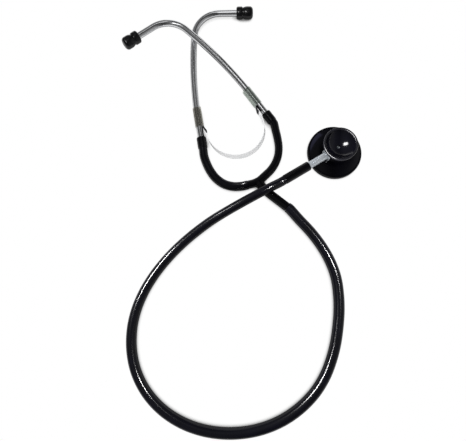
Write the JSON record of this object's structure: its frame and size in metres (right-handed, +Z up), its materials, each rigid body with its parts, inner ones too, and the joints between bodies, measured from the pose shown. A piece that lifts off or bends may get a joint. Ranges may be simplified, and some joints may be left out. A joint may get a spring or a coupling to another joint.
{
  "type": "stethoscope",
  "caption": "Acoustic stethoscope with a rotating chestpiece that has a diaphragm on one side and a bell on the other, a flexible tube with a fork, and a sprung headset with soft ear tips.",
  "frame": {"origin": "centre of the diaphragm's contact face, which lies on the table", "axes": "+Z up from the table, out of the diaphragm's back and through the bell; +Y from the tube's loop towards the ear tubes; +X from the headset towards the chestpiece"},
  "size_m": [0.2109, 0.3726, 0.0242],
  "materials": {
    "black_anodised": "gloss",
    "rim_rubber": "satin",
    "diaphragm_laminate": "satin",
    "chromed_brass": "polished",
    "spring_steel": "polished",
    "screw_steel": "black oxide",
    "tubing_pvc": "satin",
    "clear_sleeve": "clear",
    "eartip_rubber": "gloss"
  },
  "bodies": {
    "tubing": {"stem": "chromed_brass", "stem_seal": "rim_rubber", "chest_cuff": "tubing_pvc", "main_tube": "tubing_pvc", "y_junction": "tubing_pvc", "arm_left": "tubing_pvc", "arm_right": "tubing_pvc", "leaf_spring": "spring_steel"},
    "head": {"head_body": "black_anodised", "bell_rim": "rim_rubber", "diaphragm": "diaphragm_laminate", "diaphragm_ring": "black_anodised", "stem_bush": "chromed_brass", "detent_ball": "spring_steel", "detent_spring": "spring_steel", "detent_screw": "screw_steel", "retaining_screw": "screw_steel"},
    "ear_left": {"ear_tube_left": "chromed_brass", "cuff_left": "tubing_pvc", "spring_sleeve_left": "clear_sleeve", "ear_tip_left": "eartip_rubber"},
    "ear_right": {"ear_tube_right": "chromed_brass", "cuff_right": "tubing_pvc", "spring_sleeve_right": "clear_sleeve", "ear_tip_right": "eartip_rubber"}
  },
  "joints": [
    {"name": "head_turn", "type": "hinge", "parent": "tubing", "child": "head", "pos_m": [0, 0, 0.011], "axis": [-0.8572, -0.515, 0], "continuous": true},
    {"name": "left_ear_swing", "type": "hinge", "parent": "tubing", "child": "ear_left", "pos_m": [-0.0978, 0.0022, 0.005], "axis": [0, 0, 1], "range_deg": [0, 57], "stiffness_Nm_per_rad": 0.5, "deforming": ["arm_left", "leaf_spring"]},
    {"name": "right_ear_swing", "type": "hinge", "parent": "tubing", "child": "ear_right", "pos_m": [-0.0653, 0.0161, 0.005], "axis": [0, 0, 1], "range_deg": [-57, 0], "stiffness_Nm_per_rad": 0.5, "deforming": ["arm_right", "leaf_spring"]}
  ],
  "couplings": [
    {"joint": "right_ear_swing", "follows": "left_ear_swing", "ratio": -1}
  ]
}
